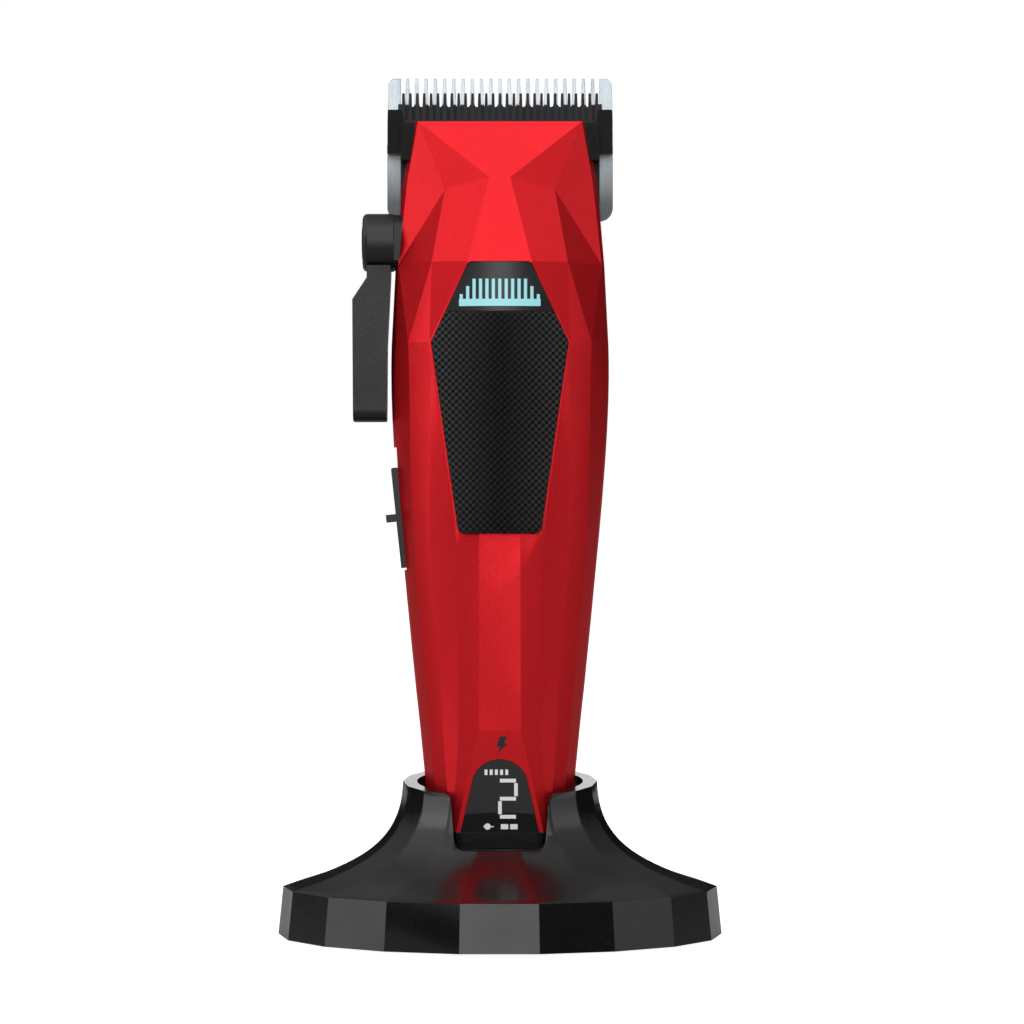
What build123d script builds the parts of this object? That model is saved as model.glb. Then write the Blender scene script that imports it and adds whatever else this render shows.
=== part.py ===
"""Cordless hair clipper standing in its charging stand, as separate pieces in millimetres.

+Z is up and the origin is the centre of the stand's underside, on the surface it stands on.
The clipper's face, with its grip panel and display, looks towards -Y. The taper lever and the
power switch are on the -X side. The blade set is at the top.
"""
from build123d import *
from math import atan2, cos, degrees, radians, sin
import os

# ---- stand ---------------------------------------------------------------------------------
SIDES = 18                    # flat sides of the stand
STAND_FOOT_R = 45.7           # corner radius of the rim where it meets the table
STAND_RIM_R = 44.7            # corner radius at the top of the rim
STAND_RIM_Z = 10.2
SHELL_UNDER_Z = 0.4           # the shell's lower edge, just off the table
COLLAR_R = 19.9
COLLAR_TOP_Z = 31.9
COLLAR_SLOPE = 6.0            # degrees, the collar's top edge drops towards the front
POCKET_R = 17.1               # the collar's inside, which holds the clipper upright
CUP_SEAT_Z = 14.6
TUBE_R = 20.2                 # outside of the tube below the collar
HOLLOW_R = 42.2
NOTCH_HALF = 9.1              # the notch in the collar in front of the display, at its floor
NOTCH_Z = 19.1
FEET = [(31.5 * cos(radians(a)), 31.5 * sin(radians(a))) for a in (45, 135, 225, 315)]
PIN_X = 4.0                   # charging pins, left and right of the middle
PIN_Y = 2.0
PIN_R = 1.0

# ---- clipper body --------------------------------------------------------------------------
CAP_Z = 18.9                  # underside of the clipper, on the cup's floor
SHELL_Z = 22.2                # lower edge of the red covers
CREASE_Z = 42.9               # where the display facet begins
PAD_Z = 82.9                  # lower end of the grip panel
WAIST_Z = 121.8               # widest place of the grip panel
BROW_Z = 138.1                # top of the badge
SHOULDER_Z = 149.2            # above this the covers leave room for the head block
FACE_TOP_Z = 167.3
WALL = 1.8
SEAM_Y = 7.0                  # front cover in front of it, rear cover behind it
BOSS_R = 2.6
REAR_TOP_Z = 145.2            # the covers end here behind the blade, below its lowest place
BLOCK_HALF = 18.3             # the head block between the covers' side walls
BLOCK_WIDE_Z = 159.6          # above the side walls the head block is wider
BADGE_Z = 128.0               # joint between the grip pad and the badge

# ---- blade set -----------------------------------------------------------------------------
BLADE_HALF = 23.4
BLADE_Z = 147.7
BLADE_TIP_Z = 177.2
BLADE_ROOT_Z = 171.8
BLADE_Y = (6.0, 8.8)
BLADE_TEETH = 21
BLADE_PITCH = 1.92
FLANGE = 2.8
CUTTER_HALF = 21.1
CUTTER_Y = (3.3, 5.93)
CUTTER_TIP_Z = 174.1
CUTTER_ROOT_Z = 168.6
CUTTER_END_Z = 171.8          # top of the solid block beside the last tooth
CUTTER_TEETH = 29
CUTTER_PITCH = 1.43
BLADE_SCREW_X = 8.0
BLADE_SCREW_Z = 152.4

# ---- drive ---------------------------------------------------------------------------------
MOTOR_R = 12.5
MOTOR_Z = (104.0, 140.0)
SHAFT_R = 1.15
CRANK = 1.25                  # offset of the drive pin, the cutter's stroke each way
CRANK_PIN_R = 1.0
HEAD_SCREW = (14.5, -3.0)

# ---- taper lever ---------------------------------------------------------------------------
HUB_Y = 0.3
HUB_Z = 142.8
HUB_R = 6.0
LEVER_SHAFT_R = 3.0
LEVER_END_Z = 105.85          # lower end of the lever's arm
CAM = 2.2                     # offset of the cam pin
CAM_REST = 30.0               # degrees above level with the lever down
CAM_PIN_R = 1.2

# ---- power switch --------------------------------------------------------------------------
SWITCH_Z = (75.8, 96.5)
SWITCH_TRAVEL = 3.8
SWITCH_LEAN = 5.9             # degrees, the body's side leans outwards as it rises
SWITCH_FOOT_X = -19.75        # body's side at the recess's lower end
RECESS_Z = (SWITCH_Z[0] - 0.5, SWITCH_Z[1] + SWITCH_TRAVEL + 0.4)
SWITCH_HALF_Y = 3.6

# Half of each cross-section, front to back: (x, y). The first five points are the corners
# between the long strips of the face, the sixth the widest place, the last three the back.
SECTIONS = {
    SHELL_Z: [(8.96, -14.2), (9.5, -13.9), (10.13, -13.3), (12.7, -8.9), (14.1, -2.8),
              (14.46, 1.9), (12.7, 7.8), (9.0, 11.1), (3.6, 12.6)],
    CREASE_Z: [(4.3, -16.8), (8.3, -15.6), (11.6, -13.4), (14.3, -9.7), (16.1, -3.0),
               (16.5, 1.9), (14.5, 9.0), (10.2, 12.8), (4.1, 14.6)],
    58.0: [(4.2, -17.6), (8.4, -16.4), (12.5, -14.2), (15.6, -10.4), (17.6, -3.2),
           (18.1, 2.0), (15.9, 9.7), (11.2, 13.7), (4.5, 15.6)],
    PAD_Z: [(4.15, -18.9), (9.1, -17.8), (14.2, -15.5), (17.75, -11.3), (20.0, -3.6),
            (20.5, 2.1), (18.0, 10.7), (12.7, 15.1), (5.1, 17.2)],
    101.8: [(4.1, -19.5), (11.5, -17.8), (14.2, -16.3), (18.3, -11.9), (21.4, -3.7),
            (22.0, 2.1), (19.4, 11.1), (13.6, 15.8), (5.5, 17.9)],
    WAIST_Z: [(4.1, -19.5), (14.0, -16.6), (14.3, -16.4), (18.7, -11.9), (21.5, -3.5),
              (22.4, 2.1), (19.7, 10.9), (13.9, 15.4), (5.6, 17.5)],
}

# Corners of the faceted head: (x, y, z), front to back on each level.
BROW = [(6.48, -17.6, BROW_Z), (13.82, -15.2, BROW_Z), (20.9, -4.0, BROW_Z), (21.56, 2.0, BROW_Z),
        (18.9, 9.8, BROW_Z), (13.2, 13.3, BROW_Z), (5.3, 14.8, BROW_Z)]
FOREHEAD = [(2.12, -13.5, 155.4), (11.17, -11.27, 153.1), (18.97, -4.9, 155.4),
            (20.1, 2.0, 155.4), (17.0, 7.2, 155.4), (11.8, 8.6, 155.4), (4.8, 9.2, 155.4)]
CROWN = [(16.82, -6.5, FACE_TOP_Z), (17.24, -5.2, FACE_TOP_Z), (17.8, 2.0, FACE_TOP_Z),
         (15.6, 5.4, FACE_TOP_Z), (10.8, 6.6, FACE_TOP_Z), (4.4, 7.0, FACE_TOP_Z)]


# ---- helpers -------------------------------------------------------------------------------
def block(x, y, z):
    """A box from its low and high coordinates on each axis."""
    size = [hi - lo for lo, hi in (x, y, z)]
    return Pos(*[(lo + hi) / 2 for lo, hi in (x, y, z)]) * Box(*size)


def rod(axis, at, span, radius):
    """A round bar along axis, through at in the other two axes, from span[0] to span[1]."""
    length, middle = span[1] - span[0], (span[0] + span[1]) / 2
    if axis == "X":
        return Pos(middle, *at) * Rot(0, 90, 0) * Cylinder(radius, length)
    if axis == "Y":
        return Pos(at[0], middle, at[1]) * Rot(90, 0, 0) * Cylinder(radius, length)
    return Pos(*at, middle) * Cylinder(radius, length)


def tube(axis, at, span, outer, inner):
    return rod(axis, at, span, outer) - rod(axis, at, span, inner)


def outline_y(face, y0, y1):
    """Extrude an X-Z outline from y0 to y1."""
    return extrude(Plane((0, y1, 0), x_dir=(1, 0, 0), z_dir=(0, -1, 0)) * face, y1 - y0)


def outline_x(face, x0, x1):
    """Extrude a Y-Z outline from x0 to x1."""
    return extrude(Plane((x0, 0, 0), x_dir=(0, 1, 0), z_dir=(1, 0, 0)) * face, x1 - x0)


def polygon(points):
    return make_face(Polyline(*points, close=True))


def both_sides(half):
    """A closed outline from its +X half, mirrored across X = 0."""
    return half + [(-p[0],) + tuple(p[1:]) for p in reversed(half)]


def screw(axis, at, head, shank, head_r, shank_r):
    """A pan-head screw with a cross slot cut in its head."""
    body = rod(axis, at, head, head_r) + rod(axis, at, shank, shank_r)
    outer = head[0] if head[1] == shank[0] else head[1]
    depth = (outer - 0.5, outer + 0.5)
    across, thin = (-0.7 * head_r, 0.7 * head_r), (-0.25, 0.25)
    for u, v in ((across, thin), (thin, across)):
        spans = {"X": (depth, shifted(u, at[0]), shifted(v, at[1])),
                 "Y": (shifted(u, at[0]), depth, shifted(v, at[1])),
                 "Z": (shifted(u, at[0]), shifted(v, at[1]), depth)}[axis]
        body -= block(*spans)
    return body


def shifted(span, by):
    return (span[0] + by, span[1] + by)


def group(solids):
    """Several separate solids kept as one node."""
    return Compound(children=[s for shape in solids for s in shape.solids()])


# ---- the clipper's outer form ----------------------------------------------------------------
def ring(z, inset=0.0):
    """A body cross-section as a face at height z, drawn in by inset all round."""
    half = [(x * (1 - inset / SECTIONS[z][5][0]), y * (1 - inset / 15.0)) for x, y in SECTIONS[z]]
    return Plane.XY.offset(z) * polygon(both_sides(half))


def strip_body(inset=0.0):
    """The long tapering body, with crisp strips running along it."""
    levels = [CREASE_Z, 58.0, PAD_Z, 101.8, WAIST_Z]
    upper = loft([ring(z, inset) for z in levels])
    lower = loft([ring(SHELL_Z, inset), ring(CREASE_Z, inset)], ruled=True)
    return upper + lower


def facet_head():
    """The faceted upper body, from the waist to the top of the face, as flat triangles."""
    waist = [(x, y, WAIST_Z) for x, y in SECTIONS[WAIST_Z]]
    triangles = [
        (waist[0], waist[1], BROW[0]), (waist[1], waist[2], BROW[0]),
        (waist[2], waist[3], BROW[1]), (waist[2], BROW[1], BROW[0]),
        (waist[3], BROW[2], BROW[1]), (waist[3], waist[4], BROW[2]),
        (BROW[0], BROW[1], FOREHEAD[1]), (BROW[0], FOREHEAD[1], FOREHEAD[0]),
        (BROW[1], BROW[2], FOREHEAD[1]), (BROW[2], FOREHEAD[2], FOREHEAD[1]),
        (FOREHEAD[0], FOREHEAD[1], CROWN[0]), (FOREHEAD[1], FOREHEAD[2], CROWN[0]),
        (FOREHEAD[2], CROWN[1], CROWN[0]),
    ]
    for i in range(4, 8):
        triangles += [(waist[i], waist[i + 1], BROW[i - 2]), (waist[i + 1], BROW[i - 1], BROW[i - 2])]
    for i in range(2, 6):
        triangles += [(BROW[i], BROW[i + 1], FOREHEAD[i]),
                      (BROW[i + 1], FOREHEAD[i + 1], FOREHEAD[i]),
                      (FOREHEAD[i], FOREHEAD[i + 1], CROWN[i - 1]),
                      (FOREHEAD[i + 1], CROWN[i], CROWN[i - 1])]
    triangles += [tuple((-x, y, z) for x, y, z in t) for t in triangles]
    faces = [Face(Wire.make_polygon(t, close=True)) for t in triangles]
    seams = [both_sides(waist), both_sides(CROWN)]
    for a, b in ((waist[0], BROW[0]), (BROW[0], FOREHEAD[0]), (FOREHEAD[0], CROWN[0]),
                 (waist[8], BROW[6]), (BROW[6], FOREHEAD[6]), (FOREHEAD[6], CROWN[5])):
        seams.append([a, b, (-b[0], b[1], b[2]), (-a[0], a[1], a[2])])
    faces += [Face(Wire.make_polygon(points, close=True)) for points in seams]
    return Solid(Shell(faces))


def body_cavity():
    """The room inside the covers."""
    mouth = extrude(ring(SHELL_Z, WALL), -1.0)
    lower = strip_body(WALL) + mouth
    waist = [(x * 0.92, y * 0.88) for x, y in SECTIONS[WAIST_Z]]
    levels = [
        (WAIST_Z, waist),
        (BROW_Z, [(6.0, -15.5), (11.4, -13.6), (11.9, -13.2), (15.0, -9.0), (18.9, -4.0),
                  (19.7, 2.0), (17.2, 8.8), (12.2, 11.8), (4.8, 13.1)]),
        (154.0, [(1.8, -11.5), (8.9, -9.8), (9.2, -9.6), (13.5, -7.4), (16.4, -4.6),
                 (17.2, 2.0), (15.0, 6.2), (10.4, 7.2), (4.2, 7.6)]),
        (165.6, [(1.8, -5.7), (8.9, -5.6), (9.2, -5.5), (13.0, -5.4), (15.0, -5.0),
                 (15.4, 2.0), (13.0, 4.4), (9.4, 5.0), (4.0, 5.4)]),
    ]
    faces = [Plane.XY.offset(z) * polygon(both_sides(half)) for z, half in levels]
    upper = loft(faces, ruled=True)
    return lower + upper


def panel_slab(proud, deep, z0, z1):
    """The curved sheet that the grip pad and the badge are cut from."""
    middle = {PAD_Z - 3: 19.15, 100.0: 19.65, 115.0: 19.85, WAIST_Z: 19.7, 130.0: 18.85,
              BROW_Z + 3: 17.4}
    across, bulge = 16.0, 4.2
    sections = []
    for z, front in middle.items():
        outer, inner = front + proud, front - deep
        shape = Polyline((across, -inner + bulge), (across, -outer + bulge))
        shape += ThreePointArc((across, -outer + bulge), (0, -outer), (-across, -outer + bulge))
        shape += Polyline((-across, -outer + bulge), (-across, -inner + bulge))
        shape += ThreePointArc((-across, -inner + bulge), (0, -inner), (across, -inner + bulge))
        sections.append(Plane.XY.offset(z) * make_face(shape))
    return loft(sections) & block((-20, 20), (-30, 0), (z0, z1))


def panel_outline(gap=0.0):
    """The shield shape of the grip panel, drawn in by gap."""
    half = [(6.35 - gap, BROW_Z - gap), (14.0 - gap, WAIST_Z), (8.43 - gap, PAD_Z + gap)]
    face = polygon([(x, z) for x, z in both_sides(half)])
    corners = [v for v in face.vertices() if abs(v.Y - WAIST_Z) > 1]
    return outline_y(fillet(corners, 1.4), -30, 0)


# ---- the display facet -----------------------------------------------------------------------
FACET_FOOT = (-14.2, SHELL_Z)
FACET_TOP = (-16.8, CREASE_Z)
FACET_LEAN = degrees(atan2(FACET_FOOT[0] - FACET_TOP[0], CREASE_Z - SHELL_Z))
DISPLAY_PLANE = Plane((0, FACET_FOOT[0], FACET_FOOT[1]), x_dir=(1, 0, 0),
                      z_dir=(0, -cos(radians(FACET_LEAN)), -sin(radians(FACET_LEAN))))


def on_display(face, proud, deep):
    """A piece set into the display facet, from proud of it to deep below it."""
    return extrude(DISPLAY_PLANE.offset(-deep) * face, proud + deep)


def display_arch(gap=0.0):
    foot, shoulder, top = (8.0 - gap, gap), (5.45 - gap, 11.4), 15.1 - gap
    lines = Polyline((-shoulder[0], shoulder[1]), (-foot[0], foot[1]), foot, shoulder)
    lines += ThreePointArc(shoulder, (0, top), (-shoulder[0], shoulder[1]))
    return make_face(lines)


def bar(x0, x1, y0, y1):
    return Pos((x0 + x1) / 2, (y0 + y1) / 2) * Rectangle(abs(x1 - x0), abs(y1 - y0))


# ---- covers ----------------------------------------------------------------------------------
def switch_place(x, y, z):
    """Boxes laid along the leaning left side; x is measured outwards from the body's side."""
    foot = Pos(SWITCH_FOOT_X, 0, SWITCH_Z[0]) * Rot(0, -SWITCH_LEAN, 0)
    return foot * block((-x[1], -x[0]), y, shifted(z, -SWITCH_Z[0]))


def cover_bosses():
    """Screw posts inside the covers; the halves meet at the seam."""
    return [(x, z) for x, z in ((-14.5, 94.0), (14.5, 94.0), (-9.6, 29.4), (9.6, 29.4))]


def covers():
    outer = strip_body() + facet_head()
    shell = outer - body_cavity()
    for at in cover_bosses():
        shell += rod("Y", at, (-20, 20), BOSS_R) & outer
    shell -= block((-17.6, -11.0), (-0.9, 6.6), (138.4, 151.0))
    room = BLOCK_HALF + 0.1
    shell -= outline_y(polygon(both_sides([(room, SHOULDER_Z), (room, BLOCK_WIDE_Z - 0.1),
                                           (30, BLOCK_WIDE_Z - 0.1), (30, 180)])), -4.95, 30)
    shell -= block((-30, 30), (3.0, 30), (SHOULDER_Z, 180))
    shell -= block((-30, 30), (5.75, 30), (REAR_TOP_Z, 180))
    shell -= panel_slab(6, 1.35, PAD_Z - 2, BROW_Z + 2) & panel_outline()
    shell -= on_display(display_arch(), 3, 1.4)
    shell -= rod("X", (HUB_Y, HUB_Z), (-30, -10), 4.2)
    shell -= switch_place((-1.3, 5), (-SWITCH_HALF_Y - 0.3, SWITCH_HALF_Y + 0.3), RECESS_Z)
    shell -= switch_place((-6, 1), (-1.3, 1.3), (82.9, 91.3))
    shell -= switch_place((-9, -1.9), (-3.4, 3.4), (77.0, 91.3))
    front = shell & block((-40, 40), (-40, SEAM_Y), (0, 200))
    rear = shell & block((-40, 40), (SEAM_Y, 40), (0, 200))
    for at in cover_bosses():
        front -= rod("Y", at, (SEAM_Y - 8.0, SEAM_Y), 1.0)
        rear -= rod("Y", at, (SEAM_Y, 30), 1.25)
        rear -= rod("Y", at, (SEAM_Y + 2.2, 30), 2.0)
    return biggest(front), biggest(rear)


def biggest(shape):
    return max(shape.solids(), key=lambda s: s.volume)


def housing_screws():
    head, shank = (SEAM_Y + 2.2, SEAM_Y + 4.0), (SEAM_Y - 7.6, SEAM_Y + 2.2)
    return group(screw("Y", at, head, shank, 1.9, 1.0) for at in cover_bosses())


def bottom_cap():
    """The black foot of the clipper, below the covers."""
    foot = [(x * 0.95, y * 0.95) for x, y in SECTIONS[SHELL_Z]]
    faces = [Plane.XY.offset(CAP_Z) * polygon(both_sides(foot)),
             Plane.XY.offset(SHELL_Z) * polygon(both_sides(SECTIONS[SHELL_Z]))]
    cap = loft(faces, ruled=True)
    neck = Plane.XY.offset(SHELL_Z) * polygon(both_sides(
        [(x * 0.86, y * 0.86 + 0.3) for x, y in SECTIONS[SHELL_Z]]))
    cap += extrude(neck, 2.0) & block((-20, 20), (-11.6, 20), (SHELL_Z, SHELL_Z + 2.0))
    for side in (-1, 1):
        cap -= rod("Z", (side * PIN_X, PIN_Y), (CAP_Z, CAP_Z + 1.2), 1.8)
    cap -= extrude(Plane.XY.offset(CAP_Z) * Pos(0, 8.0) * RectangleRounded(9.3, 3.5, 1.7), 8)
    return cap


def charge_pads():
    return group(rod("Z", (s * PIN_X, PIN_Y), (CAP_Z, CAP_Z + 1.2), 1.8) for s in (-1, 1))


def socket(plane):
    """A reversible power socket: pressed steel sleeve with a tongue in it, mouth at the plane."""
    outside = extrude(plane * RectangleRounded(9.3, 3.5, 1.7), -7.6)
    inside = extrude(plane * RectangleRounded(8.6, 2.8, 1.35), -6.8)
    tongue = extrude(plane.offset(-1.2) * Rectangle(6.6, 0.7), -6.0)
    return outside - inside + tongue


def head_block():
    """The black block under the blades, with a guard on each side."""
    half = 20.4
    main = outline_y(polygon(both_sides([(BLOCK_HALF, SHOULDER_Z + 0.1), (BLOCK_HALF, BLOCK_WIDE_Z),
                                         (half, BLOCK_WIDE_Z), (half - 0.1, 167.2)])), -4.8, 2.9)
    main = chamfer(main.edges().filter_by(Axis.X).sort_by(Axis.Z)[-1:], 0.8)
    for side in (-1, 1):
        ear = block((20.2, 23.15), (-0.9, 2.95), (161.2, 170.2))
        ear += block((20.2, 23.25), (-1.2, 2.95), (161.2, 162.9))
        ear = fillet(ear.edges().filter_by(Axis.Y).group_by(Axis.Z)[-1], 0.4)
        main += ear if side > 0 else mirror(ear, Plane.YZ)
        main -= rod("Z", (side * HEAD_SCREW[0], HEAD_SCREW[1]), (SHOULDER_Z, 158.0), 1.0)
    main -= block((-10.5, 10.5), (-3.4, 3.0), (SHOULDER_Z - 1, 161.5))
    main -= block((-17.6, 17.6), (0.9, 3.0), (SHOULDER_Z - 1, 163.5))
    return main


def head_screws():
    head, shank = (141.7, 143.2), (143.2, 157.5)
    return group(screw("Z", (s * HEAD_SCREW[0], HEAD_SCREW[1]), head, shank, 1.7, 1.0) for s in (-1, 1))


# ---- blade set -------------------------------------------------------------------------------
def tooth_gaps(count, pitch, tip_width, root_width, root_z, tip_z, y):
    """The gaps between teeth, wider at the tips, with round roots."""
    gaps = []
    for i in range(count - 1):
        x = (i - (count - 2) / 2) * pitch
        top, foot = (pitch - tip_width) / 2, (pitch - root_width) / 2
        gap = polygon([(x - foot, root_z), (x + foot, root_z), (x + top, tip_z + 1), (x - top, tip_z + 1)])
        gaps.append(outline_y(gap, *y))
        gaps.append(rod("Y", (x, root_z), y, foot))
    return gaps


def fixed_blade():
    half = [(BLADE_HALF, BLADE_Z), (BLADE_HALF, 168.0), (BLADE_HALF - 0.25, BLADE_TIP_Z - 1.15),
            (BLADE_HALF - 1.05, BLADE_TIP_Z)]
    face = polygon(both_sides(half))
    face = fillet(face.vertices().group_by(Axis.Y)[0], 2.75)
    blade = outline_y(face, *BLADE_Y)
    y, reach = (BLADE_Y[0] - 1, BLADE_Y[1] + 1), 0.6
    blade -= tooth_gaps(BLADE_TEETH, BLADE_PITCH, 0.5, 1.05, BLADE_ROOT_Z, BLADE_TIP_Z, y)
    edge = (BLADE_TEETH - 1) / 2 * BLADE_PITCH
    inner = BLADE_HALF - FLANGE
    for s in (-1, 1):
        side_gap = [(s * (edge + 0.52), BLADE_ROOT_Z), (s * inner, BLADE_ROOT_Z),
                    (s * inner, BLADE_TIP_Z + 1), (s * (edge + 0.25), BLADE_TIP_Z + 1)]
        blade -= outline_y(polygon(side_gap), *y)
        blade -= rod("Y", (s * BLADE_SCREW_X, BLADE_SCREW_Z), y, 1.7)
        blade -= rod("Y", (s * BLADE_SCREW_X, BLADE_SCREW_Z), (BLADE_Y[1] - 1.0, y[1]), 2.9)
    back = polygon([(BLADE_Y[1], 160.0), (BLADE_Y[1] + 2, 160.0), (BLADE_Y[1] + 2, BLADE_TIP_Z + 1),
                    (BLADE_Y[0] + reach, BLADE_TIP_Z + 1)])
    return blade - outline_x(back, -30, 30)


def cutter_blade():
    half = [(15.0, 156.2), (15.0, 164.6), (CUTTER_HALF, 166.2), (CUTTER_HALF, CUTTER_TIP_Z)]
    blade = outline_y(polygon(both_sides(half)), *CUTTER_Y)
    y = (CUTTER_Y[0] - 1, CUTTER_Y[1] + 1)
    blade -= tooth_gaps(CUTTER_TEETH, CUTTER_PITCH, 0.42, 0.85, CUTTER_ROOT_Z, CUTTER_TIP_Z, y)
    end = (CUTTER_TEETH - 1) / 2 * CUTTER_PITCH
    for s in (-1, 1):
        blade -= outline_y(polygon([(s * (end + 0.32), CUTTER_END_Z), (s * 30, CUTTER_END_Z),
                                    (s * 30, 180), (s * (end + 0.21), 180)]), *y)
        blade -= rod("Y", (s * 5.5, 159.0), y, 0.9)
    slope = polygon([(CUTTER_Y[0], 167.4), (CUTTER_Y[0] + 1.75, CUTTER_TIP_Z + 0.1),
                     (CUTTER_Y[0] - 2, CUTTER_TIP_Z + 0.1), (CUTTER_Y[0] - 2, 167.4)])
    return blade - outline_x(slope, -30, 30)


def drive_yoke():
    """Plastic fork on the cutter; its slot is long enough for pin and cutter to move freely."""
    reach = 2 * CRANK + CRANK_PIN_R + 0.15
    yoke = block((-6.4, 6.4), (-3.0, 3.25), (150.9, 158.6))
    yoke += block((-7.4, 7.4), (1.6, 3.25), (154.8, 160.6))
    yoke -= block((-reach, reach), (-2.5, 2.5), (150.0, 156.4))
    pegs = [rod("Y", (s * 5.5, 159.0), (3.2, 5.0), 0.9) for s in (-1, 1)]
    return yoke + pegs


def cutter_spring():
    """Bent steel leaf that presses the cutter on to the fixed blade."""
    leaf = block((-15.4, 15.4), (1.0, 1.5), (161.9, 163.3))
    for s in (-1, 1):
        leg = [(1.0, 163.3), (1.5, 163.3), (1.5, 157.4), (3.05, 156.9), (3.05, 156.4), (1.0, 157.0)]
        leaf += outline_x(polygon(leg), *sorted((s * 12.6, s * 14.4)))
    return leaf


def blade_carriage():
    """Steel plate that carries the fixed blade and slides when the lever turns."""
    plate = block((-17.2, 12.0), (3.4, 5.9), (150.0, 155.6))
    plate += block((-17.2, -15.2), (3.4, 5.9), (141.2, 150.0))
    plate += block((-17.2, -15.2), (-0.5, 3.4), (141.2, 149.0))
    middle = (HUB_Y + (CAM * cos(radians(CAM_REST)) + CAM) / 2, HUB_Z + CAM * sin(radians(CAM_REST)))
    slot = Pos(*middle) * Rectangle(2.9, 2 * CAM_PIN_R + 0.2)
    plate -= outline_x(fillet(slot.vertices(), 1.1), -18, -14)
    for s in (-1, 1):
        plate -= rod("Y", (s * BLADE_SCREW_X, BLADE_SCREW_Z), (3, 7), 1.25)
    return plate


def blade_screws():
    x_z = [(s * BLADE_SCREW_X, BLADE_SCREW_Z) for s in (-1, 1)]
    return group(screw("Y", at, (BLADE_Y[1] - 1.0, BLADE_Y[1] + 0.6), (3.4, BLADE_Y[1] - 1.0), 2.7, 1.25)
                 for at in x_z)


# ---- motor and electrics -----------------------------------------------------------------------
def motor_can():
    can = rod("Z", (0, 0), MOTOR_Z, MOTOR_R) + rod("Z", (0, 0), (MOTOR_Z[1], 142.0), 5.0)
    can -= rod("Z", (0, 0), (MOTOR_Z[0], MOTOR_Z[1] - 1.2), MOTOR_R - 1.0)
    can -= rod("Z", (0, 0), (130, 143), 3.0)
    for s in (-1, 1):
        can -= rod("Z", (s * 8.0, 0), (138, 141), 1.0)
    return can


def motor_magnets():
    shell = tube("Z", (0, 0), (108, 134), MOTOR_R - 1.0, 9.6)
    return group([shell - block((-3, 3), (-20, 20), (100, 140))])


def motor_end_cap():
    cap = rod("Z", (0, 0), (101.0, MOTOR_Z[0]), MOTOR_R)
    cap += rod("Z", (0, 0), (MOTOR_Z[0], 105.6), MOTOR_R - 1.0)
    return cap - rod("Z", (0, 0), (100, 110), 3.0)


def motor_bearings():
    return group(tube("Z", (0, 0), span, 3.0, SHAFT_R + 0.05) for span in ((101.0, 105.6), (137.4, 142.0)))


def motor_armature():
    core = rod("Z", (0, 0), (111, 131), 9.0) + rod("Z", (0, 0), (106.6, 109.4), 3.2)
    core += tube("Z", (0, 0), (109.4, 111), 7.6, 2.2) + tube("Z", (0, 0), (131, 133.4), 7.6, 2.2)
    core += rod("Z", (0, 0), (109.4, 111), 2.4) + rod("Z", (0, 0), (131, 133.4), 2.4)
    for i in range(3):
        turn = Rot(0, 0, 120 * i + 60)
        core -= turn * block((6.2, 12), (-0.7, 0.7), (111, 131))
        core -= turn * rod("Z", (6.0, 0), (111, 131), 1.9)
    return core - rod("Z", (0, 0), (100, 140), SHAFT_R)


def eccentric_drive():
    """Counterweight and drive pin on the motor shaft."""
    hub = rod("Z", (0, 0), (143.9, 147.2), 3.0) + rod("Z", (0, 0), (145.5, 147.2), 4.6)
    hub -= block((1.2, 8), (-8, 8), (145.4, 147.3)) - rod("Z", (0, 0), (140, 150), 3.0)
    hub += rod("Z", (CRANK, 0), (147.2, 155.4), CRANK_PIN_R)
    return hub - rod("Z", (0, 0), (143.9, 146.4), SHAFT_R)


def motor_shaft():
    return rod("Z", (0, 0), (100.2, 146.4), SHAFT_R)


def motor_screws():
    return group(screw("Z", (s * 8.0, 0), (145.2, 146.4), (139.0, 145.2), 1.8, 1.0) for s in (-1, 1))


def inner_chassis():
    """Frame that ties the motor, the head block and the cell tray together."""
    frame = block((-12.4, 12.4), (-8.0, 8.0), (143.2, 145.2))
    frame += block((-16.6, 16.6), (-5.0, -1.0), (143.2, 145.2))
    frame -= rod("Z", (0, 0), (143, 146), 3.4)
    for s in (-1, 1):
        frame -= rod("Z", (s * 8.0, 0), (143, 146), 1.0)
        frame += block(sorted((s * 12.4, s * 10.4)), (-7.9, -5.0), (100.0, 143.2))
        frame -= rod("Z", (s * HEAD_SCREW[0], HEAD_SCREW[1]), (143, 146), 1.0)
    for span in ((104.5, 110), (121, 127)):
        frame += tube("Z", (0, 0), span, MOTOR_R + 1.2, MOTOR_R)
    frame -= rod("Z", (0, 0), (100, 142.1), MOTOR_R)
    frame += block((-12.4, 12.4), (-7.9, 8.0), (98.0, 100.2))
    frame += block((-9.9, 9.9), (8.9, 9.9), (35.0, 100.2)) + block((-9.9, 9.9), (5.0, 9.9), (98.0, 100.2))
    frame += block((-9.0, 9.0), (-5.0, 9.9), (33.4, 35.0))
    return frame


def battery_cell():
    cell = fillet(rod("Z", (0, -0.6), (36.2, 96.4), 9.2).edges(), 0.8)
    return cell + rod("Z", (0, -0.6), (96.4, 97.2), 3.0)


def battery_tabs():
    strip = block((-2.5, 2.5), (-4.0, 8.8), (97.2, 97.5)) + block((-2.5, 2.5), (8.6, 8.8), (92.0, 97.5))
    foot = block((-2.5, 2.5), (-4.0, 8.8), (35.9, 36.2)) + block((-2.5, 2.5), (8.6, 8.8), (35.9, 40.0))
    strip -= block((-3, 3), (8.6, 9.0), (90, 97.0))
    foot -= block((-3, 3), (8.6, 9.0), (36.3, 41))
    return group([strip, foot])


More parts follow.
